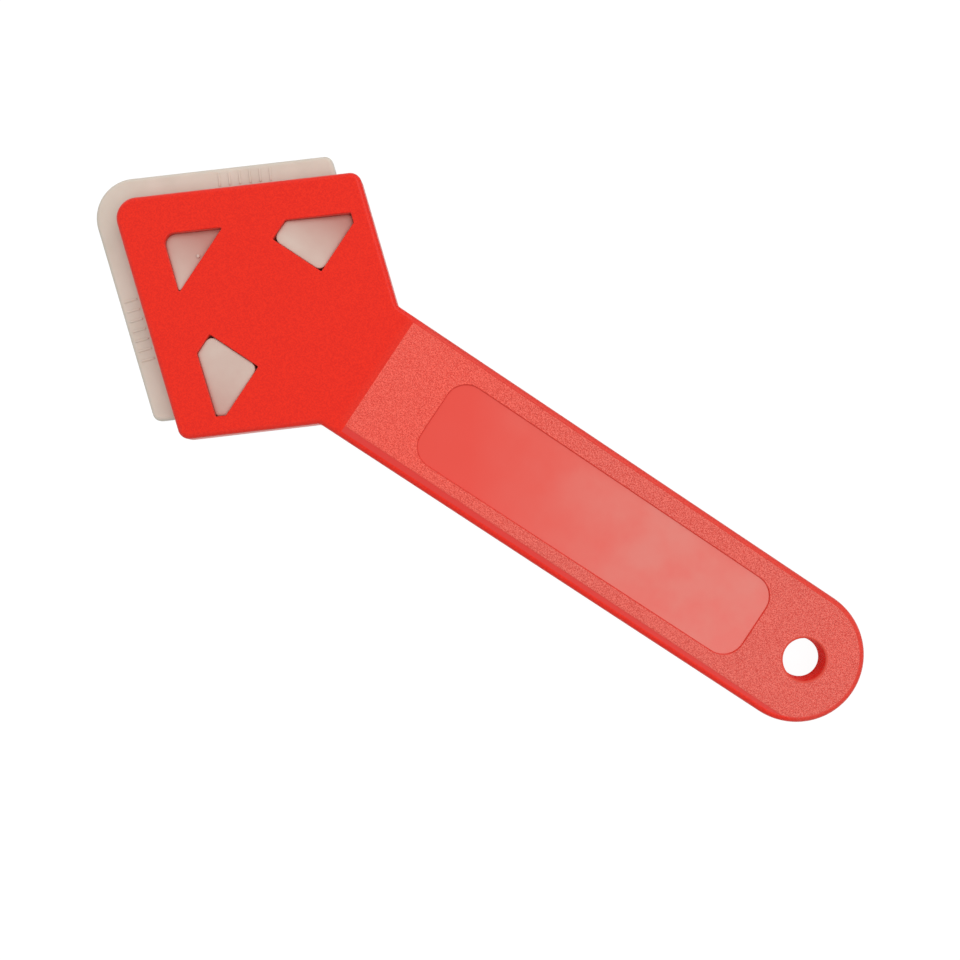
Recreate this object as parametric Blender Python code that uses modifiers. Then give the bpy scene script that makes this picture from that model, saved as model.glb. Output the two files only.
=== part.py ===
"""Sealant smoothing tool: a flat moulded handle whose diamond head holds a pull-off rubber pad.

Metres, +Z up. The tool lies flat with its face up: the handle runs along X, the head is at -X and the
hanging hole at +X, and both pieces are symmetric about Y = 0. The pad lies under the head, its
underside is the plane Z = 0, and its three plugs stand up into the head's three windows. The origin
is at the middle of the tool's length, on that plane.
"""

import math

import bmesh
import bpy

# --- Driving dimensions ------------------------------------------------------------------------------

# Heights
PAD_THICKNESS = 0.0030
HANDLE_THICKNESS = 0.0050
CLEARANCE = 0.0003              # kept between the pad and the handle, all round

# Diamond head
HEAD_SIDE = 0.0529              # each edge, before the corners are rounded
HALF_CORNER_ANGLE = math.radians(40.0)
HEAD_FRONT_RADIUS = 0.0045
HEAD_SIDE_RADIUS = 0.0025

# Handle
NECK_HALF_WIDTH = 0.0151
NECK_RADIUS = 0.0016            # hollow corner between head and handle
TAIL_RADIUS = 0.0143            # the round end
HEAD_TO_TAIL = 0.1328           # from the middle of the head to the centre of the round end
EDGE_RADIUS = 0.0010            # rounding along the rims

# Hanging hole
HOLE_RADIUS = 0.0045
HOLE_LEAD = 0.0018              # how far the hole sits beyond the centre of the round end

# Label recess
LABEL_DEPTH = 0.0003
LABEL_START = 0.0416            # from the middle of the head
LABEL_LENGTH = 0.0804
LABEL_HALF_WIDTH_FRONT = 0.0098
LABEL_HALF_WIDTH_REAR = 0.0092
LABEL_RADIUS = 0.0048

# Windows, measured from the middle of the head along X
WINDOW_INSET = 0.0086           # from the head's front edges
REAR_INSET = 0.0041             # from the head's rear edges
FRONT_WINDOW_REAR_X = -0.0173
FRONT_WINDOW_RADIUS = 0.0022
SIDE_WINDOW_FRONT_X = -0.0071
SIDE_WINDOW_REAR_X = 0.0052
SIDE_WINDOW_INNER_Y = 0.0120
WINDOW_CORNER_RADIUS = 0.0002

# Rubber pad
PAD_SIDE = 0.0533
PAD_LEAD = 0.0080               # how far the pad reaches forward of the head
PAD_FRONT_RADIUS = 0.0085
PAD_CORNER_RADIUS = 0.0018
PAD_EDGE_RADIUS = 0.0008
PLUG_RECESS = 0.0012            # plug tops lie this far below the head's face
PLUG_INNER_RADIUS = 0.0017      # the two corners nearest the middle line, on the side plugs
PLUG_OUTER_RADIUS = 0.0008
PLUG_EDGE_RADIUS = 0.0005

# Fineness
ARC_STEP = math.radians(12.0)
RIM_SEGMENTS = 3
HOLE_SIDES = 36
BEVEL_ANGLE = math.radians(40.0)
SMOOTH_ANGLE = math.radians(35.0)
CUT_MARGIN = 0.002              # how far a cutter stands out of what it cuts

# --- Worked-out places -------------------------------------------------------------------------------

HEAD_HALF_LENGTH = HEAD_SIDE * math.cos(HALF_CORNER_ANGLE)
HEAD_HALF_WIDTH = HEAD_SIDE * math.sin(HALF_CORNER_ANGLE)
PAD_HALF_LENGTH = PAD_SIDE * math.cos(HALF_CORNER_ANGLE)
PAD_HALF_WIDTH = PAD_SIDE * math.sin(HALF_CORNER_ANGLE)
PAD_TIP_CUT = PAD_FRONT_RADIUS * (1.0 / math.sin(HALF_CORNER_ANGLE) - 1.0)
FRONT_REACH = PAD_LEAD + PAD_HALF_LENGTH - PAD_TIP_CUT
REAR_REACH = HEAD_TO_TAIL + TAIL_RADIUS
HEAD_X = (FRONT_REACH - REAR_REACH) / 2.0
TAIL_X = HEAD_X + HEAD_TO_TAIL
PAD_X = HEAD_X - PAD_LEAD
HANDLE_BOTTOM = PAD_THICKNESS + CLEARANCE
HANDLE_TOP = HANDLE_BOTTOM + HANDLE_THICKNESS
PLUG_TOP = HANDLE_TOP - PLUG_RECESS


# --- Outlines ----------------------------------------------------------------------------------------

def corner_arc(before, corner, after, radius):
    """Points of the arc that rounds a corner between two straight edges."""
    cx, cy = corner
    ax, ay = before[0] - cx, before[1] - cy
    bx, by = after[0] - cx, after[1] - cy
    la, lb = math.hypot(ax, ay), math.hypot(bx, by)
    ax, ay, bx, by = ax / la, ay / la, bx / lb, by / lb
    inside = math.acos(max(-1.0, min(1.0, ax * bx + ay * by)))
    setback = radius / math.tan(inside / 2.0)
    start = (cx + ax * setback, cy + ay * setback)
    reach = radius / math.sin(inside / 2.0)
    mx, my = ax + bx, ay + by
    lm = math.hypot(mx, my)
    centre = (cx + mx / lm * reach, cy + my / lm * reach)
    turn = math.pi - inside
    if ax * by - ay * bx > 0.0:
        turn = -turn
    first = math.atan2(start[1] - centre[1], start[0] - centre[0])
    steps = max(2, math.ceil(abs(turn) / ARC_STEP))
    return [
        (centre[0] + radius * math.cos(first + turn * i / steps),
         centre[1] + radius * math.sin(first + turn * i / steps))
        for i in range(steps + 1)
    ]


def rounded(corners):
    """Closed outline through (x, y, radius) corners, each rounded by an arc of its radius."""
    points = []
    for i, (x, y, radius) in enumerate(corners):
        before = corners[i - 1][:2]
        after = corners[(i + 1) % len(corners)][:2]
        points += corner_arc(before, (x, y), after, radius)
    return points


def mirrored(points):
    """The same outline on the other side of Y = 0, still anticlockwise."""
    return [(x, -y) for x, y in reversed(points)]


def front_edge_y(x, inset):
    """Height of a line parallel to the head's +Y front edge; x counts from the head's middle."""
    return (x + HEAD_HALF_LENGTH) * math.tan(HALF_CORNER_ANGLE) - inset / math.cos(HALF_CORNER_ANGLE)


def rear_edge_y(x, inset):
    """Height of a line parallel to the head's +Y rear edge; x counts from the head's middle."""
    return (HEAD_HALF_LENGTH - x) * math.tan(HALF_CORNER_ANGLE) - inset / math.cos(HALF_CORNER_ANGLE)


def tail_arc():
    """The round end, from where the -Y side meets it to where the +Y side does."""
    taper = math.asin((NECK_HALF_WIDTH - TAIL_RADIUS) / HEAD_TO_TAIL)
    reach = math.pi / 2.0 - taper
    steps = math.ceil(2.0 * reach / ARC_STEP)
    angles = [-reach + 2.0 * reach * i / steps for i in range(steps + 1)]
    return [(TAIL_X + TAIL_RADIUS * math.cos(a), TAIL_RADIUS * math.sin(a)) for a in angles]


def handle_outline():
    """Diamond head running into the tapered handle with its round end."""
    neck_x = HEAD_X + HEAD_HALF_LENGTH - NECK_HALF_WIDTH / math.tan(HALF_CORNER_ANGLE)
    front = (HEAD_X - HEAD_HALF_LENGTH, 0.0)
    side = (HEAD_X, -HEAD_HALF_WIDTH)
    neck = (neck_x, -NECK_HALF_WIDTH)
    tail = tail_arc()
    lower = corner_arc(front, side, neck, HEAD_SIDE_RADIUS) + corner_arc(side, neck, tail[0], NECK_RADIUS)
    tip = corner_arc((side[0], -side[1]), front, side, HEAD_FRONT_RADIUS)
    return tip + lower + tail + mirrored(lower)


def pad_outline():
    """Diamond with a wide front corner and three tighter ones."""
    return rounded([
        (PAD_X - PAD_HALF_LENGTH, 0.0, PAD_FRONT_RADIUS),
        (PAD_X, -PAD_HALF_WIDTH, PAD_CORNER_RADIUS),
        (PAD_X + PAD_HALF_LENGTH, 0.0, PAD_CORNER_RADIUS),
        (PAD_X, PAD_HALF_WIDTH, PAD_CORNER_RADIUS),
    ])


def front_window(shrink, tip_radius, corner_radius):
    """Triangle behind the front corner, made smaller all round by shrink."""
    inset = WINDOW_INSET + shrink
    rear = FRONT_WINDOW_REAR_X - shrink
    tip = inset / math.sin(HALF_CORNER_ANGLE) - HEAD_HALF_LENGTH
    half = front_edge_y(rear, inset)
    return rounded([
        (HEAD_X + tip, 0.0, tip_radius),
        (HEAD_X + rear, -half, corner_radius),
        (HEAD_X + rear, half, corner_radius),
    ])


def side_window(shrink, inner_radius, outer_radius):
    """Five-sided window on the +Y side, made smaller all round by shrink."""
    front = SIDE_WINDOW_FRONT_X + shrink
    rear = SIDE_WINDOW_REAR_X - shrink
    inner = SIDE_WINDOW_INNER_Y + shrink
    inset = WINDOW_INSET + shrink
    rear_inset = REAR_INSET + shrink
    peak = (inset - rear_inset) / (2.0 * math.sin(HALF_CORNER_ANGLE))
    return rounded([
        (HEAD_X + front, inner, inner_radius),
        (HEAD_X + rear, inner, inner_radius),
        (HEAD_X + rear, rear_edge_y(rear, rear_inset), outer_radius),
        (HEAD_X + peak, front_edge_y(peak, inset), outer_radius),
        (HEAD_X + front, front_edge_y(front, inset), outer_radius),
    ])


def window_outlines(shrink, tip_radius, inner_radius, outer_radius):
    """The three windows, or the three plugs that fill them."""
    side = side_window(shrink, inner_radius, outer_radius)
    return {
        "front": front_window(shrink, tip_radius, outer_radius),
        "left": side,
        "right": mirrored(side),
    }


def label_outline():
    """Long rounded recess, a little narrower towards the tail."""
    front = HEAD_X + LABEL_START
    rear = front + LABEL_LENGTH
    return rounded([
        (front, LABEL_HALF_WIDTH_FRONT, LABEL_RADIUS),
        (front, -LABEL_HALF_WIDTH_FRONT, LABEL_RADIUS),
        (rear, -LABEL_HALF_WIDTH_REAR, LABEL_RADIUS),
        (rear, LABEL_HALF_WIDTH_REAR, LABEL_RADIUS),
    ])


# --- Scene, solids and modifiers ---------------------------------------------------------------------

def clear_scene():
    """Remove every object that the file opened with."""
    for obj in list(bpy.data.objects):
        bpy.data.objects.remove(obj, do_unlink=True)


def new_collection(name):
    """A collection linked to the scene."""
    collection = bpy.data.collections.new(name)
    bpy.context.scene.collection.children.link(collection)
    return collection


def plate(name, outline, bottom, top, collection):
    """Solid plate from a flat outline: a filled 2D curve, made a mesh with its caps welded."""
    curve = bpy.data.curves.new(name + "_outline", "CURVE")
    curve.dimensions = "2D"
    curve.fill_mode = "BOTH"
    curve.extrude = (top - bottom) / 2.0
    spline = curve.splines.new("POLY")
    spline.points.add(len(outline) - 1)
    for point, (x, y) in zip(spline.points, outline):
        point.co = (x, y, 0.0, 1.0)
    spline.use_cyclic_u = True
    source = bpy.data.objects.new(name + "_curve", curve)
    source.location.z = (top + bottom) / 2.0
    collection.objects.link(source)
    bpy.context.view_layer.update()

    mesh = bpy.data.meshes.new_from_object(source.evaluated_get(bpy.context.evaluated_depsgraph_get()))
    mesh.transform(source.matrix_world)
    bpy.data.objects.remove(source, do_unlink=True)
    weld_caps(mesh)
    obj = bpy.data.objects.new(name, mesh)
    collection.objects.link(obj)
    return obj


def weld_caps(mesh):
    """Join the loose caps to the walls and merge each cap into one face."""
    bm = bmesh.new()
    bm.from_mesh(mesh)
    bmesh.ops.remove_doubles(bm, verts=bm.verts, dist=1e-6)
    bmesh.ops.dissolve_limit(bm, angle_limit=math.radians(0.5), verts=bm.verts, edges=bm.edges)
    bmesh.ops.recalc_face_normals(bm, faces=bm.faces)
    bm.to_mesh(mesh)
    bm.free()


def as_cutter(obj):
    """Mark an object as a cutter, which is never part of the tool."""
    obj.hide_render = True
    obj.display_type = "WIRE"
    return obj


def round_edges(obj, width):
    """Bevel the sharp rims of a plate."""
    bevel = obj.modifiers.new("round_edges", "BEVEL")
    bevel.width = width
    bevel.segments = RIM_SEGMENTS
    bevel.limit_method = "ANGLE"
    bevel.angle_limit = BEVEL_ANGLE


def boolean(obj, other, operation):
    """Cut or join with the exact solver."""
    modifier = obj.modifiers.new(operation.lower() + "_" + other.name, "BOOLEAN")
    modifier.operation = operation
    modifier.solver = "EXACT"
    modifier.object = other


def shade(obj):
    """Smooth shading that keeps the sharp rims sharp."""
    obj.data.shade_smooth()
    smooth = obj.modifiers.new("keep_flats", "WEIGHTED_NORMAL")
    smooth.keep_sharp = True
    obj.data.set_sharp_from_angle(angle=SMOOTH_ANGLE)


def material(name, colour, roughness):
    """Principled material of one plain colour."""
    result = bpy.data.materials.new(name)
    result.use_nodes = True
    shader = result.node_tree.nodes["Principled BSDF"]
    shader.inputs["Base Color"].default_value = (*colour, 1.0)
    shader.inputs["Roughness"].default_value = roughness
    shader.inputs["Metallic"].default_value = 0.0
    return result


# --- Sub-parts ---------------------------------------------------------------------------------------

def make_handle(parts, cutters):
    """One moulding: diamond head with three windows, grip with a label recess and a hanging hole."""
    handle = plate("handle", handle_outline(), HANDLE_BOTTOM, HANDLE_TOP, parts)
    round_edges(handle, EDGE_RADIUS)
    low = HANDLE_BOTTOM - CUT_MARGIN
    high = HANDLE_TOP + CUT_MARGIN
    windows = window_outlines(0.0, FRONT_WINDOW_RADIUS, WINDOW_CORNER_RADIUS, WINDOW_CORNER_RADIUS)
    for name, outline in windows.items():
        cutter = as_cutter(plate("window_" + name, outline, low, high, cutters))
        boolean(handle, cutter, "DIFFERENCE")

    label = as_cutter(plate("label_recess", label_outline(), HANDLE_TOP - LABEL_DEPTH, high, cutters))
    boolean(handle, label, "DIFFERENCE")

    bpy.ops.mesh.primitive_cylinder_add(
        vertices=HOLE_SIDES,
        radius=HOLE_RADIUS,
        depth=HANDLE_THICKNESS + 2.0 * CUT_MARGIN,
        location=(TAIL_X + HOLE_LEAD, 0.0, (HANDLE_BOTTOM + HANDLE_TOP) / 2.0),
    )
    hole = bpy.context.object
    hole.name = "hanging_hole"
    for owner in list(hole.users_collection):
        owner.objects.unlink(hole)
    cutters.objects.link(as_cutter(hole))
    boolean(handle, hole, "DIFFERENCE")

    shade(handle)
    handle.data.materials.append(material("red_plastic", (0.84, 0.045, 0.025), 0.45))
    return handle


def make_pad(parts, cutters):
    """Silicone rubber pad: a diamond plate and the three plugs that grip the head's windows."""
    pad = plate("pad", pad_outline(), 0.0, PAD_THICKNESS, parts)
    round_edges(pad, PAD_EDGE_RADIUS)
    tip_radius = FRONT_WINDOW_RADIUS - CLEARANCE
    plugs = window_outlines(CLEARANCE, tip_radius, PLUG_INNER_RADIUS, PLUG_OUTER_RADIUS)
    for name, outline in plugs.items():
        plug = as_cutter(plate("plug_" + name, outline, PAD_THICKNESS / 2.0, PLUG_TOP, cutters))
        round_edges(plug, PLUG_EDGE_RADIUS)
        boolean(pad, plug, "UNION")

    shade(pad)
    pad.data.materials.append(material("silicone_rubber", (0.60, 0.52, 0.42), 0.55))
    return pad


def main():
    clear_scene()
    parts = new_collection("sealant_smoothing_tool")
    cutters = new_collection("cutters")
    make_handle(parts, cutters)
    make_pad(parts, cutters)


main()
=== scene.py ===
"""Looks of the sealant smoothing tool: a red moulded handle and the rubber pad that its head holds.

Both mouldings are built here again with their fillets, draft, recesses and raised marks, in metres and
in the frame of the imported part: +X from the head to the hanging hole, +Z out of the handle's face. Each
moulding is a stack of rings, one outline drawn at many insets and heights, closed by flat caps.
"""

import math

import bpy
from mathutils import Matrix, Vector
from mathutils.geometry import delaunay_2d_cdt


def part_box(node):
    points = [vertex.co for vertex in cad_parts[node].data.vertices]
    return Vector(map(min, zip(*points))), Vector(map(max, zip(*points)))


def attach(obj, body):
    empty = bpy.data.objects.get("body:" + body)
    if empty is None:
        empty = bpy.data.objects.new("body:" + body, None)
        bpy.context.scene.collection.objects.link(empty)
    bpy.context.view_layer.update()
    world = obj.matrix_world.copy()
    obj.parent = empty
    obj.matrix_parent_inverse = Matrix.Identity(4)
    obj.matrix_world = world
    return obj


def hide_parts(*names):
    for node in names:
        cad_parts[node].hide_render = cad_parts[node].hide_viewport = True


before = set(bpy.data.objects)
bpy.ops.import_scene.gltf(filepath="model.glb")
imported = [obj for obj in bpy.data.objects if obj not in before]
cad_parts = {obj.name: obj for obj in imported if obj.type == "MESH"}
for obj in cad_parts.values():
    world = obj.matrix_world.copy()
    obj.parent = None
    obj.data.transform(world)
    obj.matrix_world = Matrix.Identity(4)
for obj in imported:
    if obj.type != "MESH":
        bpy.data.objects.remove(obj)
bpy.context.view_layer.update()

MM = 0.001

# --- Driving dimensions, as the part has them --------------------------------------------------------

HALF_CORNER_ANGLE = math.radians(40.0)
HEAD_SIDE = 52.9 * MM
HEAD_FRONT_RADIUS = 4.5 * MM
HEAD_SIDE_RADIUS = 2.5 * MM
NECK_HALF_WIDTH = 15.1 * MM
NECK_RADIUS = 1.6 * MM
TAIL_RADIUS = 14.3 * MM
HEAD_TO_TAIL = 132.8 * MM       # from the middle of the head to the centre of the round end
HOLE_LEAD = 1.8 * MM
LABEL_START = 41.6 * MM         # from the middle of the head
LABEL_LENGTH = 80.4 * MM
LABEL_HALF_WIDTH_FRONT = 9.8 * MM
LABEL_HALF_WIDTH_REAR = 9.2 * MM
LABEL_RADIUS = 4.8 * MM
WINDOW_INSET = 8.6 * MM         # from the head's front edges
REAR_INSET = 4.1 * MM           # from the head's rear edges
FRONT_WINDOW_REAR = -17.3 * MM  # from the middle of the head, as are the next three
SIDE_WINDOW_FRONT = -7.1 * MM
SIDE_WINDOW_REAR = 5.2 * MM
SIDE_WINDOW_INNER = 12.0 * MM
FRONT_WINDOW_RADIUS = 2.2 * MM
PAD_SIDE = 53.3 * MM
PAD_THICKNESS = 3.0 * MM
PAD_LEAD = 8.0 * MM             # how far the pad reaches forward of the head
PAD_FRONT_RADIUS = 8.5 * MM
PAD_CORNER_RADIUS = 1.8 * MM

# --- Finer shape -------------------------------------------------------------------------------------

DRAFT = 0.06 * MM               # how far the handle's walls lean in, from base to face
FACE_FILLET = 1.20 * MM
BACK_FILLET = 0.35 * MM
WINDOW_RIM = 0.25 * MM
WINDOW_CORNER = 0.25 * MM
WINDOW_DRAFT = 0.10 * MM
HOLE_FACE_RADIUS = 4.45 * MM
HOLE_BACK_RADIUS = 4.15 * MM
HOLE_RIM = 0.45 * MM
GRAIN_START = 27.3 * MM         # where the grip's grain begins, from the middle of the head
GRAIN_EDGE_Y = -12.3 * MM       # and where it stops on the -Y side
LABEL_DEPTH = 0.30 * MM
LABEL_STEP = 0.12 * MM
EJECTOR_RADIUS = 2.5 * MM
EJECTOR_DEPTH = 0.08 * MM
EJECTOR_PLACES = (4.0 * MM, 48.0 * MM, 82.0 * MM, 116.0 * MM)  # from the middle of the head

PAD_FACE_FILLET = 0.95 * MM
PAD_BACK_FILLET = 0.80 * MM
FRONT_PLUG_RECESS = 0.45 * MM   # plug tops below the handle's face, at their highest
SIDE_PLUG_RECESS = 0.40 * MM
FRONT_PLUG_FALL = 0.07          # slopes of the plugs' tops, for the way the rubber has settled
LEFT_PLUG_FALL = 0.08           # on the +Y side
RIGHT_PLUG_FALL = 0.04          # on the -Y side
FRONT_FALL_START = -8.0 * MM    # the Y at which the front plug keeps its full height
PLUG_SHOULDER = 0.25 * MM       # height that a plug's top falls to its sides
FRONT_PILLOW = 2.0 * MM         # width of that fall
SIDE_PILLOW = 1.4 * MM
PLUG_GAP = 0.03 * MM            # where a plug presses against its window
PLUG_OPEN_GAP = 0.07 * MM       # along the other sides of a side plug
PLUG_INNER_CORNER = 1.7 * MM
PLUG_OUTER_CORNER = 0.9 * MM
PLUG_TIP_CORNER = 0.4 * MM
MARK_HEIGHT = 0.26 * MM
MARK_FOOT = MARK_HEIGHT / 3.0   # hollow fillet where a mark rises from the pad
MARK_FILLET = MARK_HEIGHT * 0.4
MARK_WIDTH = 0.42 * MM
MARK_LENGTH = 2.9 * MM
MARK_PITCH = 2.2 * MM
MARK_INSET = 2.5 * MM           # from the pad's front edges to the middles of the marks
MARK_ROWS = (                   # side, distance of the first mark from the pad's front corner, count
    (1.0, 29.0 * MM, 6),
    (-1.0, 27.0 * MM, 7),
)
BAR_ROUNDNESS = 0.49            # radius of a bar's ends, in widths
GATE_RADIUS = 0.42 * MM         # stub left where the rubber was fed in, on the front plug
GATE_FILLET = GATE_RADIUS * 0.6
GATE_INSET = 1.1 * MM           # from the window's rear edge
GATE_Y = 0.4 * MM
GATE_TOP = 0.7 * MM             # below the handle's face

ROUND_STEPS = 14                # points round a tight corner
TAIL_STEPS = 36                 # points round a quarter of the tail
HOLE_STEPS = 16                 # points round a quarter of a hole
FILLET_STEPS = 6
SHARP_ANGLE = math.radians(40.0)
SMALLEST_RADIUS = 0.02 * MM     # what is left of a corner that an inset uses up
SHORTEST_EDGE = 0.001 * MM      # two arcs closer than this share a point
SQUARE = ((-1, -1), (1, -1), (1, 1), (-1, 1))
INSIDE_LOOPS = 1                # what delaunay_2d_cdt is asked for
CAP_TOLERANCE = 1e-7

# --- Places, from the frame --------------------------------------------------------------------------

HANDLE_LOW, HANDLE_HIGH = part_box("handle")
PAD_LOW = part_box("pad")[0]
BACK = HANDLE_LOW[2]
FACE = HANDLE_HIGH[2]
FLOOR = PAD_LOW[2]
PAD_FACE = FLOOR + PAD_THICKNESS
TAIL_X = HANDLE_HIGH[0] - TAIL_RADIUS
HEAD_X = TAIL_X - HEAD_TO_TAIL
HOLE_X = TAIL_X + HOLE_LEAD
PAD_X = HEAD_X - PAD_LEAD
HEAD_HALF_LENGTH = HEAD_SIDE * math.cos(HALF_CORNER_ANGLE)
HEAD_HALF_WIDTH = HEAD_SIDE * math.sin(HALF_CORNER_ANGLE)
PAD_HALF_LENGTH = PAD_SIDE * math.cos(HALF_CORNER_ANGLE)
PAD_HALF_WIDTH = PAD_SIDE * math.sin(HALF_CORNER_ANGLE)
DOWN, LEVEL, UP = -math.pi / 2.0, 0.0, math.pi / 2.0


# --- Outlines: corners as (x, y, radius, steps), anticlockwise; 0 steps is a plain point -------------

def bend(corners, i):
    """The directions of the edges before and after a corner, and the turn between them."""
    corner = Vector(corners[i][:2])
    behind = (corner - Vector(corners[i - 1][:2])).normalized()
    ahead = (Vector(corners[(i + 1) % len(corners)][:2]) - corner).normalized()
    return behind, ahead, math.atan2(behind.cross(ahead), behind.dot(ahead))


def arcs_meet(corners, i):
    """Whether the arc round this corner ends where the next corner's arc starts."""
    following = (i + 1) % len(corners)
    straight = (Vector(corners[following][:2]) - Vector(corners[i][:2])).length
    for k in (i, following):
        straight -= corners[k][2] * math.tan(abs(bend(corners, k)[2]) / 2.0)
    return straight < SHORTEST_EDGE


def outline(corners, inset):
    """(x, y, nx, ny) round an outline whose edges are moved inwards by inset, with outward normals."""
    ring = []
    for i, (x, y, radius, steps) in enumerate(corners):
        corner = Vector((x, y))
        behind, ahead, turn = bend(corners, i)
        first = Vector((behind.y, -behind.x))
        last = Vector((ahead.y, -ahead.x))
        spread = (first + last) / (1.0 + first.dot(last))
        moved = corner - spread * inset
        side = math.copysign(1.0, turn)
        if steps == 0:
            ring.append((moved.x, moved.y, first.x, first.y))
            continue
        reach = side * max(radius - side * inset, SMALLEST_RADIUS)
        centre = moved - spread * reach
        start = math.atan2(first.y, first.x)
        for k in range(steps if arcs_meet(corners, i) else steps + 1):
            angle = start + turn * k / steps
            nx, ny = math.cos(angle), math.sin(angle)
            ring.append((centre.x + reach * nx, centre.y + reach * ny, nx, ny))
    return ring


def mirrored(corners):
    """The same corners on the other side of Y = 0."""
    return [(x, -y, radius, steps) for x, y, radius, steps in reversed(corners)]


def front_edge_y(x, inset):
    """Y of the line this far inside the head's +Y front edge; x counts from the head's middle."""
    return (x + HEAD_HALF_LENGTH) * math.tan(HALF_CORNER_ANGLE) - inset / math.cos(HALF_CORNER_ANGLE)


def rear_edge_y(x, inset):
    """Y of the line this far inside the head's +Y rear edge; x counts from the head's middle."""
    return (HEAD_HALF_LENGTH - x) * math.tan(HALF_CORNER_ANGLE) - inset / math.cos(HALF_CORNER_ANGLE)


def handle_corners():
    """Head, neck, a straight point where the grain begins, and the round end; then the mirror side."""
    taper = math.asin((NECK_HALF_WIDTH - TAIL_RADIUS) / HEAD_TO_TAIL)

    def side_y(x):
        return -(TAIL_RADIUS / math.cos(taper) + (TAIL_X - x) * math.tan(taper))

    neck_x = HEAD_X + HEAD_HALF_LENGTH - NECK_HALF_WIDTH / math.tan(HALF_CORNER_ANGLE)
    grain_x = HEAD_X + GRAIN_START
    end_x = TAIL_X + TAIL_RADIUS
    lower = [
        (HEAD_X, -HEAD_HALF_WIDTH, HEAD_SIDE_RADIUS, ROUND_STEPS),
        (neck_x, side_y(neck_x), NECK_RADIUS, ROUND_STEPS),
        (grain_x, side_y(grain_x), 0.0, 0),
        (end_x, side_y(end_x), TAIL_RADIUS, TAIL_STEPS),
    ]
    return [(HEAD_X - HEAD_HALF_LENGTH, 0.0, HEAD_FRONT_RADIUS, ROUND_STEPS)] + lower + mirrored(lower)


def front_window_corners(gap, corner):
    """Triangle behind the head's front corner."""
    inset = WINDOW_INSET + gap
    rear = FRONT_WINDOW_REAR - gap
    tip = inset / math.sin(HALF_CORNER_ANGLE) - HEAD_HALF_LENGTH
    half = front_edge_y(rear, inset)
    return [
        (HEAD_X + tip, 0.0, FRONT_WINDOW_RADIUS, ROUND_STEPS),
        (HEAD_X + rear, -half, corner, ROUND_STEPS),
        (HEAD_X + rear, half, corner, ROUND_STEPS),
    ]


def side_window_corners(gaps=(0.0, 0.0), inner=WINDOW_CORNER, outer=WINDOW_CORNER):
    """Five-sided window on the +Y side, or its plug, which is smaller by one gap along the front edges
    and by another along the rest, and whose two inner corners are rounder than the outer ones."""
    tight, loose = gaps
    front = SIDE_WINDOW_FRONT + tight
    rear = SIDE_WINDOW_REAR - loose
    inner_y = SIDE_WINDOW_INNER + loose
    front_inset = WINDOW_INSET + tight
    rear_inset = REAR_INSET + loose
    peak = (front_inset - rear_inset) / (2.0 * math.sin(HALF_CORNER_ANGLE))
    places = [
        (front, inner_y, inner),
        (rear, inner_y, inner),
        (rear, rear_edge_y(rear, rear_inset), outer),
        (peak, front_edge_y(peak, front_inset), outer),
        (front, front_edge_y(front, front_inset), outer),
    ]
    return [(HEAD_X + x, y, radius, ROUND_STEPS) for x, y, radius in places]


def label_corners():
    """Long rounded recess, a little narrower towards the tail."""
    front = HEAD_X + LABEL_START
    rear = front + LABEL_LENGTH
    return [
        (front, -LABEL_HALF_WIDTH_FRONT, LABEL_RADIUS, ROUND_STEPS),
        (rear, -LABEL_HALF_WIDTH_REAR, LABEL_RADIUS, ROUND_STEPS),
        (rear, LABEL_HALF_WIDTH_REAR, LABEL_RADIUS, ROUND_STEPS),
        (front, LABEL_HALF_WIDTH_FRONT, LABEL_RADIUS, ROUND_STEPS),
    ]


def round_corners(x, y, radius, steps):
    """A circle, as a square whose corners are quarter circles."""
    return [(x + i * radius, y + j * radius, radius, steps) for i, j in SQUARE]


def pad_corners():
    """Diamond with a wide front corner and three tighter ones."""
    return [
        (PAD_X - PAD_HALF_LENGTH, 0.0, PAD_FRONT_RADIUS, 2 * ROUND_STEPS),
        (PAD_X, -PAD_HALF_WIDTH, PAD_CORNER_RADIUS, ROUND_STEPS),
        (PAD_X + PAD_HALF_LENGTH, 0.0, PAD_CORNER_RADIUS, ROUND_STEPS),
        (PAD_X, PAD_HALF_WIDTH, PAD_CORNER_RADIUS, ROUND_STEPS),
    ]


def bar_corners(centre, along, length, width):
    """A short bar with round ends, its length in the direction of the unit vector along."""
    across = Vector((-along.y, along.x))
    spots = [centre + along * (i * length / 2.0) + across * (j * width / 2.0) for i, j in SQUARE]
    return [(spot.x, spot.y, width * BAR_ROUNDNESS, FILLET_STEPS) for spot in spots]


# --- Profiles: (inset, height, lean) from the bottom up; lean is the normal's angle above level ------

def rim(side, inset, centre, radius, start, stop, rise=None):
    """A rounded edge, an ellipse where rise is given. side is 1 where insets go into the material
    and -1 on a hole's wall."""
    rise = rise or radius
    points = []
    for k in range(FILLET_STEPS + 1):
        angle = start + (stop - start) * k / FILLET_STEPS
        x, z = math.cos(angle), math.sin(angle)
        lean = math.atan2(z / rise, x / radius)
        points.append((inset + side * radius * (1.0 - x), centre + rise * z, lean))
    return points


def foot(side, inset, level, radius):
    """A hollow fillet from a flat face at this level up into a wall."""
    points = []
    for k in range(FILLET_STEPS + 1):
        angle = UP * (1.0 - k / FILLET_STEPS)
        points.append((
            inset - side * radius * (1.0 - math.cos(angle)),
            level + radius * (1.0 - math.sin(angle)),
            angle,
        ))
    return points


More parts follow.
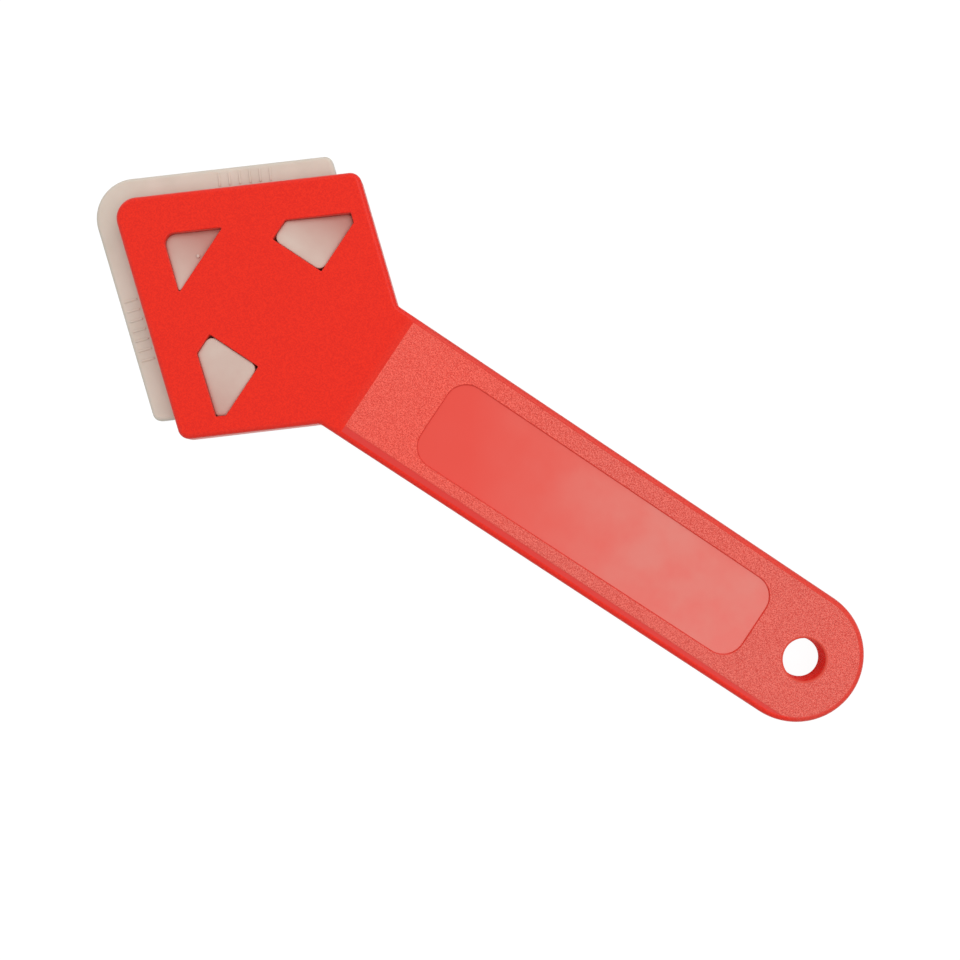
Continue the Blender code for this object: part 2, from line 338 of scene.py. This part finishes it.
class Shell:
    """The points, exact normals and faces of one closed moulding."""

    def __init__(self):
        self.points = []
        self.normals = []
        self.faces = []
        self.slots = []

    def stack(self, corners, profile, hole=False, slot=0):
        """Rings of one outline up a profile, joined by walls. Returns the lowest and highest ring."""
        facing = -1.0 if hole else 1.0
        rings = []
        for inset, height, lean in profile:
            ring = []
            for x, y, nx, ny in outline(corners, inset):
                level = facing * math.cos(lean)
                ring.append(len(self.points))
                self.points.append((x, y, height))
                self.normals.append((nx * level, ny * level, math.sin(lean)))
            rings.append(ring)
        for low, high in zip(rings, rings[1:]):
            for i in range(len(low)):
                j = (i + 1) % len(low)
                wall = [low[i], high[i], high[j], low[j]]
                self.faces.append(wall if hole else wall[::-1])
                self.slots.append(slot)
        return rings[0], rings[-1]

    def cap(self, ring, holes=(), up=True, slot=0):
        """A flat face inside a ring and outside its holes."""
        order = []
        loops = []
        for loop in (ring, *holes):
            loops.append(list(range(len(order), len(order) + len(loop))))
            order += loop
        flat = [Vector(self.points[i][:2]) for i in order]
        result = delaunay_2d_cdt(flat, [], loops, INSIDE_LOOPS, CAP_TOLERANCE)
        _, _, triangles, sources, _, within = result
        for triangle, owners in zip(triangles, within):
            if list(owners) == [0]:
                face = [order[sources[i][0]] for i in triangle]
                self.faces.append(face if up else face[::-1])
                self.slots.append(slot)

    def tilt(self, first, slope, start):
        """Lower the points from this one on by slope for each metre that they lie beyond Y = start."""
        for i in range(first, len(self.points)):
            x, y, z = self.points[i]
            self.points[i] = (x, y, z - slope * (y - start))

    def build(self, name, materials, exact_normals=True):
        """The mesh object. Its exact normals are lost where it is cut or joined afterwards."""
        mesh = bpy.data.meshes.new(name)
        mesh.from_pydata(self.points, [], self.faces)
        for material in materials:
            mesh.materials.append(material)
        mesh.polygons.foreach_set("material_index", self.slots)
        mesh.shade_smooth()
        if exact_normals:
            mesh.normals_split_custom_set_from_vertices([Vector(n).normalized() for n in self.normals])
        obj = bpy.data.objects.new(name, mesh)
        bpy.context.scene.collection.objects.link(obj)
        return obj


def join(obj, other):
    """Unite two closed meshes into the first, with soft normals that leave the flat faces flat."""
    modifier = obj.modifiers.new("join", "BOOLEAN")
    modifier.operation = "UNION"
    modifier.solver = "EXACT"
    modifier.object = other
    bpy.context.view_layer.update()
    mesh = bpy.data.meshes.new_from_object(obj.evaluated_get(bpy.context.evaluated_depsgraph_get()))
    obj.modifiers.clear()
    obj.data = mesh
    bpy.data.objects.remove(other, do_unlink=True)
    mesh.set_sharp_from_angle(angle=SHARP_ANGLE)
    flats = obj.modifiers.new("keep_flats", "WEIGHTED_NORMAL")
    flats.keep_sharp = True


# --- Materials: linear colours, and sizes in metres --------------------------------------------------

HEAD_RED_DEEP = (0.71, 0.009, 0.001, 1.0)
HEAD_RED_BRIGHT = (0.83, 0.018, 0.001, 1.0)
SHADED_RIM_RED_DEEP = (0.61, 0.029, 0.015, 1.0)        # painted shade with a grey painted sheen on the rims and walls round the grip
SHADED_RIM_RED_BRIGHT = (0.75, 0.045, 0.026, 1.0)
SHADED_RIM_X = (HEAD_X + GRAIN_START - 2.0 * MM, HEAD_X + GRAIN_START + 4.0 * MM)
SHADED_RIM_Y = (-12.5 * MM, -11.0 * MM)                # the rim along the -Y side gets none of this painted shade and stays as red as the head
SPECKLE_SIZE = 0.30 * MM
SHEEN_TINT = (1.0, 0.65, 0.55, 1.0)

# brighter red of the hole's wall: painted red bounce light
BORE_BOUNCE_RED_DEEP = (0.84, 0.016, 0.006, 1.0)
BORE_BOUNCE_RED_BRIGHT = (0.92, 0.024, 0.010, 1.0)
BORE_LIP_RED = (0.68, 0.075, 0.050, 1.0)
BORE_LIP_Z = (FACE - 0.9 * HOLE_RIM, FACE - 0.4 * HOLE_RIM)

PIT_RED_NEAR = (0.74, 0.028, 0.010, 1.0)        # pits painted in shade and ridges painted with a pale highlight, near the head
RIDGE_RED_NEAR = (1.00, 0.120, 0.076, 1.0)
PIT_RED_FAR = (0.65, 0.040, 0.022, 1.0)         # and towards the tail, with painted falloff of light and a grey painted sheen
RIDGE_RED_FAR = (0.89, 0.160, 0.118, 1.0)
MARGIN_RED = (0.66, 0.010, 0.002, 1.0)          # beyond the grain's edge
GRAIN_FADE_X = (-10.0 * MM, 25.0 * MM)          # from the near colours to the far ones, where the painted falloff and sheen grow
GRAIN_EDGE_WIDTH = 0.30 * MM
GRAIN_SIZE = 0.25 * MM
GRAIN_HEIGHT = 0.24 * MM
# patches of the painted falloff and sheen towards the tail
GRIP_SHEEN_PATCH_SIZE = 22.0 * MM

LABEL_RED = (0.75, 0.052, 0.031, 1.0)
# pale painted reflection on the label's floor
LABEL_REFLECTION = (0.69, 0.190, 0.152, 1.0)
REFLECTION_SLANT = 0.6                                # how far the painted reflection's front leans, in X for each Y
REFLECTION_START = 9.0 * MM                           # from the label's front end
REFLECTION_END = 61.0 * MM
REFLECTION_PATCH_SIZE = 13.0 * MM

RUBBER_DARK = (0.60, 0.515, 0.435, 1.0)
RUBBER_LIGHT = (0.65, 0.555, 0.475, 1.0)
# painted highlight on the pad's rounded rim
RUBBER_RIM_HIGHLIGHT = (0.66, 0.63, 0.55, 1.0)
RUBBER_RIM_Z = (PAD_FACE - 0.8 * MM, PAD_FACE - 0.05 * MM)
PLUG_BEIGE = (0.60, 0.455, 0.388, 1.0)
# painted shade and red bounce light in the windows' deep corners
PLUG_SHADED_PINK = (0.47, 0.205, 0.168, 1.0)
PLUG_UNSHADED_Z = (FACE - 1.3 * MM, FACE - 0.55 * MM)
PLUG_TOP_Z = (FACE - 2.3 * MM, FACE - 1.9 * MM)  # the painted shade and red bounce light end on the plugs' walls


class Nodes:
    """Short ways to add nodes to one material."""

    def __init__(self, name):
        self.material = bpy.data.materials.new(name)
        self.material.use_nodes = True
        self.tree = self.material.node_tree
        self.shader = self.tree.nodes["Principled BSDF"]
        self.place = self.add("ShaderNodeTexCoord").outputs["Object"]

    def add(self, kind, **values):
        node = self.tree.nodes.new(kind)
        for key, value in values.items():
            setattr(node, key, value)
        return node

    def join(self, source, target):
        self.tree.links.new(source, target)

    def noise(self, size, detail=2.0, roughness=0.5):
        """Noise whose features are about size metres across, on the object's own coordinates."""
        node = self.add("ShaderNodeTexNoise")
        node.inputs["Scale"].default_value = 1.0 / size
        node.inputs["Detail"].default_value = detail
        node.inputs["Roughness"].default_value = roughness
        self.join(self.place, node.inputs["Vector"])
        return node.outputs["Fac"]

    def remap(self, source, low, high, to_low=0.0, to_high=1.0):
        node = self.add("ShaderNodeMapRange")
        node.inputs["From Min"].default_value = low
        node.inputs["From Max"].default_value = high
        node.inputs["To Min"].default_value = to_low
        node.inputs["To Max"].default_value = to_high
        self.join(source, node.inputs["Value"])
        return node.outputs["Result"]

    def math(self, operation, a, b):
        node = self.add("ShaderNodeMath", operation=operation)
        for socket, value in zip(node.inputs, (a, b)):
            if isinstance(value, (int, float)):
                socket.default_value = value
            else:
                self.join(value, socket)
        return node.outputs["Value"]

    def blend(self, factor, a, b):
        """Colour a where factor is 0 and b where it is 1."""
        node = self.add("ShaderNodeMix", data_type="RGBA")
        self.join(factor, node.inputs["Factor"])
        for socket, value in ((node.inputs[6], a), (node.inputs[7], b)):
            if isinstance(value, tuple):
                socket.default_value = value
            else:
                self.join(value, socket)
        return node.outputs[2]

    def bump(self, height, distance, strength=1.0):
        node = self.add("ShaderNodeBump")
        node.inputs["Distance"].default_value = distance
        node.inputs["Strength"].default_value = strength
        self.join(height, node.inputs["Height"])
        self.join(node.outputs["Normal"], self.shader.inputs["Normal"])

    def part(self, axis):
        """One coordinate of the place, in metres."""
        node = self.add("ShaderNodeSeparateXYZ")
        self.join(self.place, node.inputs["Vector"])
        return node.outputs[axis]


def smooth_red():
    """Satin moulded plastic with a very fine speckle: the head, the rims and the walls, with painted shade
    and a grey painted sheen on the rims and walls round the grip."""
    n = Nodes("red_smooth")
    speckle = n.remap(n.noise(SPECKLE_SIZE), 0.35, 0.65)
    head = n.blend(speckle, HEAD_RED_DEEP, HEAD_RED_BRIGHT)
    # painted shade and grey sheen on the grip's rims and walls
    painted_rim_shade = n.blend(speckle, SHADED_RIM_RED_DEEP, SHADED_RIM_RED_BRIGHT)
    grip = n.remap(n.part("X"), *SHADED_RIM_X)
    upper = n.remap(n.part("Y"), *SHADED_RIM_Y)
    colour = n.blend(n.math("MULTIPLY", grip, upper), head, painted_rim_shade)
    n.join(colour, n.shader.inputs["Base Color"])
    n.join(n.remap(speckle, 0.0, 1.0, 0.32, 0.40), n.shader.inputs["Roughness"])
    n.shader.inputs["Specular IOR Level"].default_value = 0.23
    n.shader.inputs["Sheen Weight"].default_value = 0.40
    n.shader.inputs["Sheen Roughness"].default_value = 0.30
    n.shader.inputs["Sheen Tint"].default_value = SHEEN_TINT
    n.bump(n.noise(0.25 * MM), 0.014 * MM, 0.5)
    return n.material


def bore_red():
    """Matt red of the hanging hole's wall, with painted red bounce light from its own other side."""
    n = Nodes("red_bore")
    cloud = n.remap(n.noise(1.5 * MM), 0.35, 0.65)
    # painted red bounce light on the hole's wall
    wall = n.blend(cloud, BORE_BOUNCE_RED_DEEP, BORE_BOUNCE_RED_BRIGHT)
    lip = n.remap(n.part("Z"), *BORE_LIP_Z)
    n.join(n.blend(lip, wall, BORE_LIP_RED), n.shader.inputs["Base Color"])
    n.shader.inputs["Roughness"].default_value = 0.7
    n.shader.inputs["Specular IOR Level"].default_value = 0.08
    return n.material


def grained_red():
    """Spark-eroded grain of the grip, with painted shade in its pits and painted highlights on its ridges,
    and painted falloff of light and a grey painted sheen towards the tail.
    """
    n = Nodes("red_grained")
    fine = n.noise(GRAIN_SIZE, 3.0, 0.7)
    ridges = n.remap(fine, 0.43, 0.57)
    broad = n.remap(n.noise(GRIP_SHEEN_PATCH_SIZE), 0.3, 0.7)
    # painted shade in the pits and painted highlight on the ridges
    near = n.blend(ridges, PIT_RED_NEAR, RIDGE_RED_NEAR)
    far = n.blend(ridges, PIT_RED_FAR, RIDGE_RED_FAR)
    reach = n.remap(n.part("X"), *GRAIN_FADE_X)
    # painted falloff of light and grey sheen towards the tail
    painted_falloff_and_sheen = n.math("MULTIPLY", reach, n.remap(broad, 0.0, 1.0, 0.75, 1.0))
    half_edge = GRAIN_EDGE_WIDTH / 2.0
    inside = n.remap(n.part("Y"), GRAIN_EDGE_Y - half_edge, GRAIN_EDGE_Y + half_edge)
    colour = n.blend(inside, MARGIN_RED, n.blend(painted_falloff_and_sheen, near, far))
    n.join(colour, n.shader.inputs["Base Color"])
    n.join(n.remap(ridges, 0.0, 1.0, 0.62, 0.52), n.shader.inputs["Roughness"])
    n.shader.inputs["Specular IOR Level"].default_value = 0.5
    n.bump(n.math("MULTIPLY", fine, inside), GRAIN_HEIGHT)
    return n.material


def label_red():
    """Smooth floor of the label recess, with a painted reflection that grows towards the tail."""
    n = Nodes("red_label")
    front = HEAD_X + LABEL_START
    slant = n.math("ADD", n.part("X"), n.math("MULTIPLY", n.part("Y"), REFLECTION_SLANT))
    reach = n.remap(slant, front + REFLECTION_START, front + REFLECTION_END)
    patches = n.remap(n.noise(REFLECTION_PATCH_SIZE, 3.0, 0.55), 0.35, 0.7)
    # painted reflection, in patches
    painted_reflection = n.math("MULTIPLY", reach, n.remap(patches, 0.0, 1.0, 0.52, 1.0))
    n.join(n.blend(painted_reflection, LABEL_RED, LABEL_REFLECTION), n.shader.inputs["Base Color"])
    n.join(n.remap(patches, 0.0, 1.0, 0.34, 0.44), n.shader.inputs["Roughness"])
    n.shader.inputs["Specular IOR Level"].default_value = 0.45
    n.bump(n.noise(0.5 * MM), 0.008 * MM, 0.5)
    return n.material


def rubber_finish(n):
    """Uneven matt finish and faint bump of silicone rubber, on either rubber material."""
    n.join(n.remap(n.noise(0.8 * MM), 0.3, 0.7, 0.50, 0.60), n.shader.inputs["Roughness"])
    n.shader.inputs["Specular IOR Level"].default_value = 0.4
    n.bump(n.noise(0.6 * MM), 0.010 * MM, 0.5)


def rubber():
    """Beige silicone rubber, matt and slightly translucent, with a painted highlight on its rounded rim.
    """
    n = Nodes("pad_rubber")
    cloud = n.remap(n.noise(6.0 * MM, 3.0), 0.3, 0.7)
    body = n.blend(cloud, RUBBER_DARK, RUBBER_LIGHT)
    rise = n.remap(n.part("Z"), *RUBBER_RIM_Z)
    n.join(n.blend(rise, RUBBER_RIM_HIGHLIGHT, body), n.shader.inputs["Base Color"])
    n.shader.inputs["Subsurface Weight"].default_value = 0.15
    n.shader.inputs["Subsurface Radius"].default_value = (1.0, 0.7, 0.5)
    n.shader.inputs["Subsurface Scale"].default_value = 0.8 * MM
    rubber_finish(n)
    return n.material


def plug_rubber():
    """The same rubber inside the windows, with painted shade and red bounce light from the red plastic
    where its top is deepest.
    """
    n = Nodes("plug_rubber")
    height = n.remap(n.part("Z"), *PLUG_UNSHADED_Z)
    cloud = n.remap(n.noise(5.0 * MM, 3.0), 0.3, 0.7, 0.80, 1.0)
    unshaded = n.math("MULTIPLY", height, cloud)
    top = n.remap(n.part("Z"), *PLUG_TOP_Z)
    # painted shade and red bounce light where the plug's top is deepest
    painted_shade = n.math("MULTIPLY", top, n.math("SUBTRACT", 1.0, unshaded))
    n.join(n.blend(painted_shade, PLUG_BEIGE, PLUG_SHADED_PINK), n.shader.inputs["Base Color"])
    rubber_finish(n)
    return n.material


# --- Pieces ------------------------------------------------------------------------------------------

SMOOTH, GRAINED, LABEL, BORE = range(4)
BAND, PLUG = range(2)


def make_handle():
    """The red moulding: wall, windows, hanging hole, label recess, face, ejector marks and back."""
    shell = Shell()
    profile = rim(1, 0.0, BACK + BACK_FILLET, BACK_FILLET, DOWN, LEVEL)
    profile += rim(1, DRAFT, FACE - FACE_FILLET, FACE_FILLET, LEVEL, UP)
    low, high = shell.stack(handle_corners(), profile, slot=SMOOTH)

    window_profile = rim(-1, -WINDOW_DRAFT, BACK + WINDOW_RIM, WINDOW_RIM, DOWN, LEVEL)
    window_profile += rim(-1, 0.0, FACE - WINDOW_RIM, WINDOW_RIM, LEVEL, UP)
    side = side_window_corners()
    windows = [
        shell.stack(corners, window_profile, hole=True, slot=SMOOTH)
        for corners in (front_window_corners(0.0, WINDOW_CORNER), side, mirrored(side))
    ]

    narrowing = HOLE_FACE_RADIUS - HOLE_BACK_RADIUS
    hole_profile = rim(-1, narrowing, BACK + BACK_FILLET, BACK_FILLET, DOWN, LEVEL)
    hole_profile += rim(-1, 0.0, FACE - HOLE_RIM, HOLE_RIM, LEVEL, UP)
    hole_corners = round_corners(HOLE_X, 0.0, HOLE_FACE_RADIUS, HOLE_STEPS)
    hole = shell.stack(hole_corners, hole_profile, hole=True, slot=BORE)

    label_profile = foot(-1, 0.0, FACE - LABEL_DEPTH, LABEL_STEP)
    label_profile += rim(-1, 0.0, FACE - LABEL_STEP, LABEL_STEP, LEVEL, UP)
    label = shell.stack(label_corners(), label_profile, hole=True, slot=SMOOTH)
    shell.cap(label[0], slot=LABEL)

    # Front corner, side corner and neck come before the first grain point; neck and side corner follow
    # the last one.
    first_grain = 3 * (ROUND_STEPS + 1)
    last_grain = len(high) - 1 - 2 * (ROUND_STEPS + 1)
    grain = high[first_grain:last_grain + 1]
    head = high[:first_grain + 1] + high[last_grain:]
    shell.cap(grain, [label[1], hole[1]], slot=GRAINED)
    shell.cap(head, [window[1] for window in windows], slot=SMOOTH)

    marks = []
    mark_profile = [
        (0.0, BACK, DOWN),
        (EJECTOR_DEPTH, BACK + EJECTOR_DEPTH, DOWN),
    ]
    for place in EJECTOR_PLACES:
        mark = round_corners(HEAD_X + place, 0.0, EJECTOR_RADIUS, FILLET_STEPS)
        rings = shell.stack(mark, mark_profile, hole=True, slot=SMOOTH)
        shell.cap(rings[1], up=False, slot=SMOOTH)
        marks.append(rings[0])
    shell.cap(low, [window[0] for window in windows] + [hole[0]] + marks, up=False, slot=SMOOTH)

    obj = shell.build("handle_moulding", [smooth_red(), grained_red(), label_red(), bore_red()])
    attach(obj, "handle")
    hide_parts("handle")


def mark_rows():
    """Outlines of two rows of plain raised bars, one on each band of the pad that the head leaves bare."""
    along = Vector((math.cos(HALF_CORNER_ANGLE), math.sin(HALF_CORNER_ANGLE)))
    tip = Vector((PAD_X - PAD_HALF_LENGTH, 0.0))
    for sign, start, count in MARK_ROWS:
        edge = Vector((along.x, sign * along.y))
        inward = Vector((along.y, -sign * along.x))
        for k in range(count):
            centre = tip + edge * (start + k * MARK_PITCH) + inward * MARK_INSET
            yield bar_corners(centre, inward, MARK_LENGTH, MARK_WIDTH)


def make_pad():
    """The rubber moulding: plate, gate stub and raised marks, and the three plugs that join it."""
    shell = Shell()
    profile = rim(1, 0.0, FLOOR + PAD_BACK_FILLET, PAD_BACK_FILLET, DOWN, LEVEL)
    profile += rim(1, 0.0, PAD_FACE - PAD_FACE_FILLET, PAD_FACE_FILLET, LEVEL, UP)
    low, high = shell.stack(pad_corners(), profile, slot=BAND)
    shell.cap(low, up=False, slot=BAND)

    gate_x = HEAD_X + FRONT_WINDOW_REAR - GATE_INSET
    gate_profile = [(0.0, PAD_FACE, LEVEL)]
    gate_profile += rim(1, 0.0, FACE - GATE_TOP - GATE_FILLET, GATE_FILLET, LEVEL, UP)
    gate = round_corners(gate_x, GATE_Y, GATE_RADIUS, FILLET_STEPS)
    base, top = shell.stack(gate, gate_profile, slot=PLUG)
    shell.cap(top, slot=PLUG)
    feet = [base]

    mark_profile = foot(1, 0.0, PAD_FACE, MARK_FOOT)
    mark_profile += rim(1, 0.0, PAD_FACE + MARK_HEIGHT - MARK_FILLET, MARK_FILLET, LEVEL, UP)
    for corners in mark_rows():
        base, top = shell.stack(corners, mark_profile, slot=BAND)
        shell.cap(top, slot=BAND)
        feet.append(base)
    shell.cap(high, feet, slot=BAND)

    plugs = Shell()
    front = front_window_corners(PLUG_GAP, PLUG_TIP_CORNER)
    side = side_window_corners((PLUG_GAP, PLUG_OPEN_GAP), PLUG_INNER_CORNER, PLUG_OUTER_CORNER)
    kinds = (
        (front, FRONT_PLUG_RECESS, FRONT_PILLOW, FRONT_PLUG_FALL, FRONT_FALL_START),
        (side, SIDE_PLUG_RECESS, SIDE_PILLOW, LEFT_PLUG_FALL, SIDE_WINDOW_INNER),
        (mirrored(side), SIDE_PLUG_RECESS, SIDE_PILLOW, -RIGHT_PLUG_FALL, -SIDE_WINDOW_INNER),
    )
    for corners, recess, pillow, fall, start in kinds:
        profile = [(0.0, PAD_FACE / 2.0, LEVEL)]
        profile += rim(1, 0.0, FACE - recess - PLUG_SHOULDER, pillow, LEVEL, UP, PLUG_SHOULDER)
        first = len(plugs.points)
        base, top = plugs.stack(corners, profile, slot=PLUG)
        plugs.tilt(first + len(base), fall, start)
        plugs.cap(base, up=False, slot=PLUG)
        plugs.cap(top, slot=PLUG)

    materials = [rubber(), plug_rubber()]
    obj = shell.build("pad_moulding", materials, exact_normals=False)
    join(obj, plugs.build("plugs", materials, exact_normals=False))
    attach(obj, "pad")
    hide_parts("pad")


# --- Floor, light and camera -------------------------------------------------------------------------

WHITE = (1.0, 1.0, 1.0, 1.0)
FLOOR_DARK = (0.10, 0.10, 0.10, 1.0)
FLOOR_LIGHT = (0.12, 0.12, 0.12, 1.0)
FLOOR_GLOW = 0.95
FLOOR_CLEARANCE = 0.05 * MM     # below the pad's underside
FLOOR_RADIUS = 1.2
SWEEP_RADIUS = 0.6
WALL_HEIGHT = 2.0
SWEEP_STEPS = 10
SWEEP_SIDES = 96

SKY_LIGHT = 0.92
GROUND_LIGHT = 0.25
BRIGHTEST = (-0.10, 0.25, 0.96)  # the way to the brightest part of the surround
BRIGHTENING = (-0.1, 0.7)        # cosines of the angle to it, where the light is lowest and highest
SOFTBOXES = (                    # name, place, side, power
    ("key_softbox", (0.00, 0.36, 0.40), 0.32, 0.55),
    ("tail_softbox", (0.40, -0.12, 0.90), 0.40, 1.5),
)

CAMERA_PLACE = (6.9 * MM, -6.4 * MM, 259.9 * MM)
CAMERA_TURN = (0.21, 0.21, 33.51)  # in degrees about X, Y and Z
CAMERA_LENS = 45.0
CAMERA_SENSOR = 36.0


def make_floor():
    """Plain pale floor that curves up far out into a plain wall. It throws no light on the tool."""
    profile = [(FLOOR_RADIUS, 0.0)]
    for k in range(1, SWEEP_STEPS + 1):
        angle = UP * k / SWEEP_STEPS
        reach = FLOOR_RADIUS + SWEEP_RADIUS * math.sin(angle)
        profile.append((reach, SWEEP_RADIUS * (1.0 - math.cos(angle))))
    profile.append((FLOOR_RADIUS + SWEEP_RADIUS, WALL_HEIGHT))
    angles = [2.0 * math.pi * i / SWEEP_SIDES for i in range(SWEEP_SIDES)]
    points = [(r * math.cos(a), r * math.sin(a), z) for r, z in profile for a in angles]
    faces = [list(range(SWEEP_SIDES))]
    for row in range(len(profile) - 1):
        for i in range(SWEEP_SIDES):
            j = (i + 1) % SWEEP_SIDES
            low, high = row * SWEEP_SIDES, (row + 1) * SWEEP_SIDES
            faces.append([low + i, high + i, high + j, low + j])
    mesh = bpy.data.meshes.new("floor")
    mesh.from_pydata(points, [], faces)
    floor = bpy.data.objects.new("floor", mesh)
    floor.location.z = FLOOR - FLOOR_CLEARANCE
    bpy.context.scene.collection.objects.link(floor)
    n = Nodes("floor_white")
    tone = n.remap(n.noise(0.4, 1.0), 0.3, 0.7)
    n.join(n.blend(tone, FLOOR_DARK, FLOOR_LIGHT), n.shader.inputs["Base Color"])
    n.shader.inputs["Roughness"].default_value = 0.9
    n.shader.inputs["Specular IOR Level"].default_value = 0.0
    n.shader.inputs["Emission Color"].default_value = WHITE
    n.shader.inputs["Emission Strength"].default_value = FLOOR_GLOW
    mesh.materials.append(n.material)
    floor.visible_diffuse = False
    floor.visible_shadow = False


def softbox(name, place, size, power):
    """A square area light that faces the tool."""
    light = bpy.data.lights.new(name, "AREA")
    light.shape = "SQUARE"
    light.size = size
    light.energy = power
    obj = bpy.data.objects.new(name, light)
    obj.location = place
    obj.rotation_euler = (-Vector(place)).to_track_quat("-Z", "Y").to_euler()
    obj.visible_camera = False
    bpy.context.scene.collection.objects.link(obj)


def make_light():
    """Two softboxes and a pale surround that is brightest overhead and dim below the horizon."""
    world = bpy.data.worlds.new("studio")
    world.use_nodes = True
    tree = world.node_tree
    background = tree.nodes["Background"]
    direction = tree.nodes.new("ShaderNodeTexCoord")
    height = tree.nodes.new("ShaderNodeVectorMath")
    height.operation = "DOT_PRODUCT"
    height.inputs[1].default_value = BRIGHTEST
    strength = tree.nodes.new("ShaderNodeMapRange")
    strength.inputs["From Min"].default_value = BRIGHTENING[0]
    strength.inputs["From Max"].default_value = BRIGHTENING[1]
    strength.inputs["To Min"].default_value = GROUND_LIGHT
    strength.inputs["To Max"].default_value = SKY_LIGHT
    tree.links.new(direction.outputs["Generated"], height.inputs[0])
    tree.links.new(height.outputs["Value"], strength.inputs["Value"])
    tree.links.new(strength.outputs["Result"], background.inputs["Strength"])
    background.inputs["Color"].default_value = WHITE
    scene = bpy.context.scene
    scene.world = world
    scene.view_settings.view_transform = "Standard"
    scene.view_settings.look = "None"
    for name, place, size, power in SOFTBOXES:
        softbox(name, place, size, power)


def make_camera():
    """Camera straight above the tool, turned so that the tool runs from upper left to lower right."""
    camera_data = bpy.data.cameras.new("camera")
    camera_data.sensor_width = CAMERA_SENSOR
    camera_data.lens = CAMERA_LENS
    camera = bpy.data.objects.new("camera", camera_data)
    camera.location = CAMERA_PLACE
    camera.rotation_euler = [math.radians(turn) for turn in CAMERA_TURN]
    bpy.context.scene.collection.objects.link(camera)
    bpy.context.scene.camera = camera


make_handle()
make_pad()
make_floor()
make_light()
make_camera()
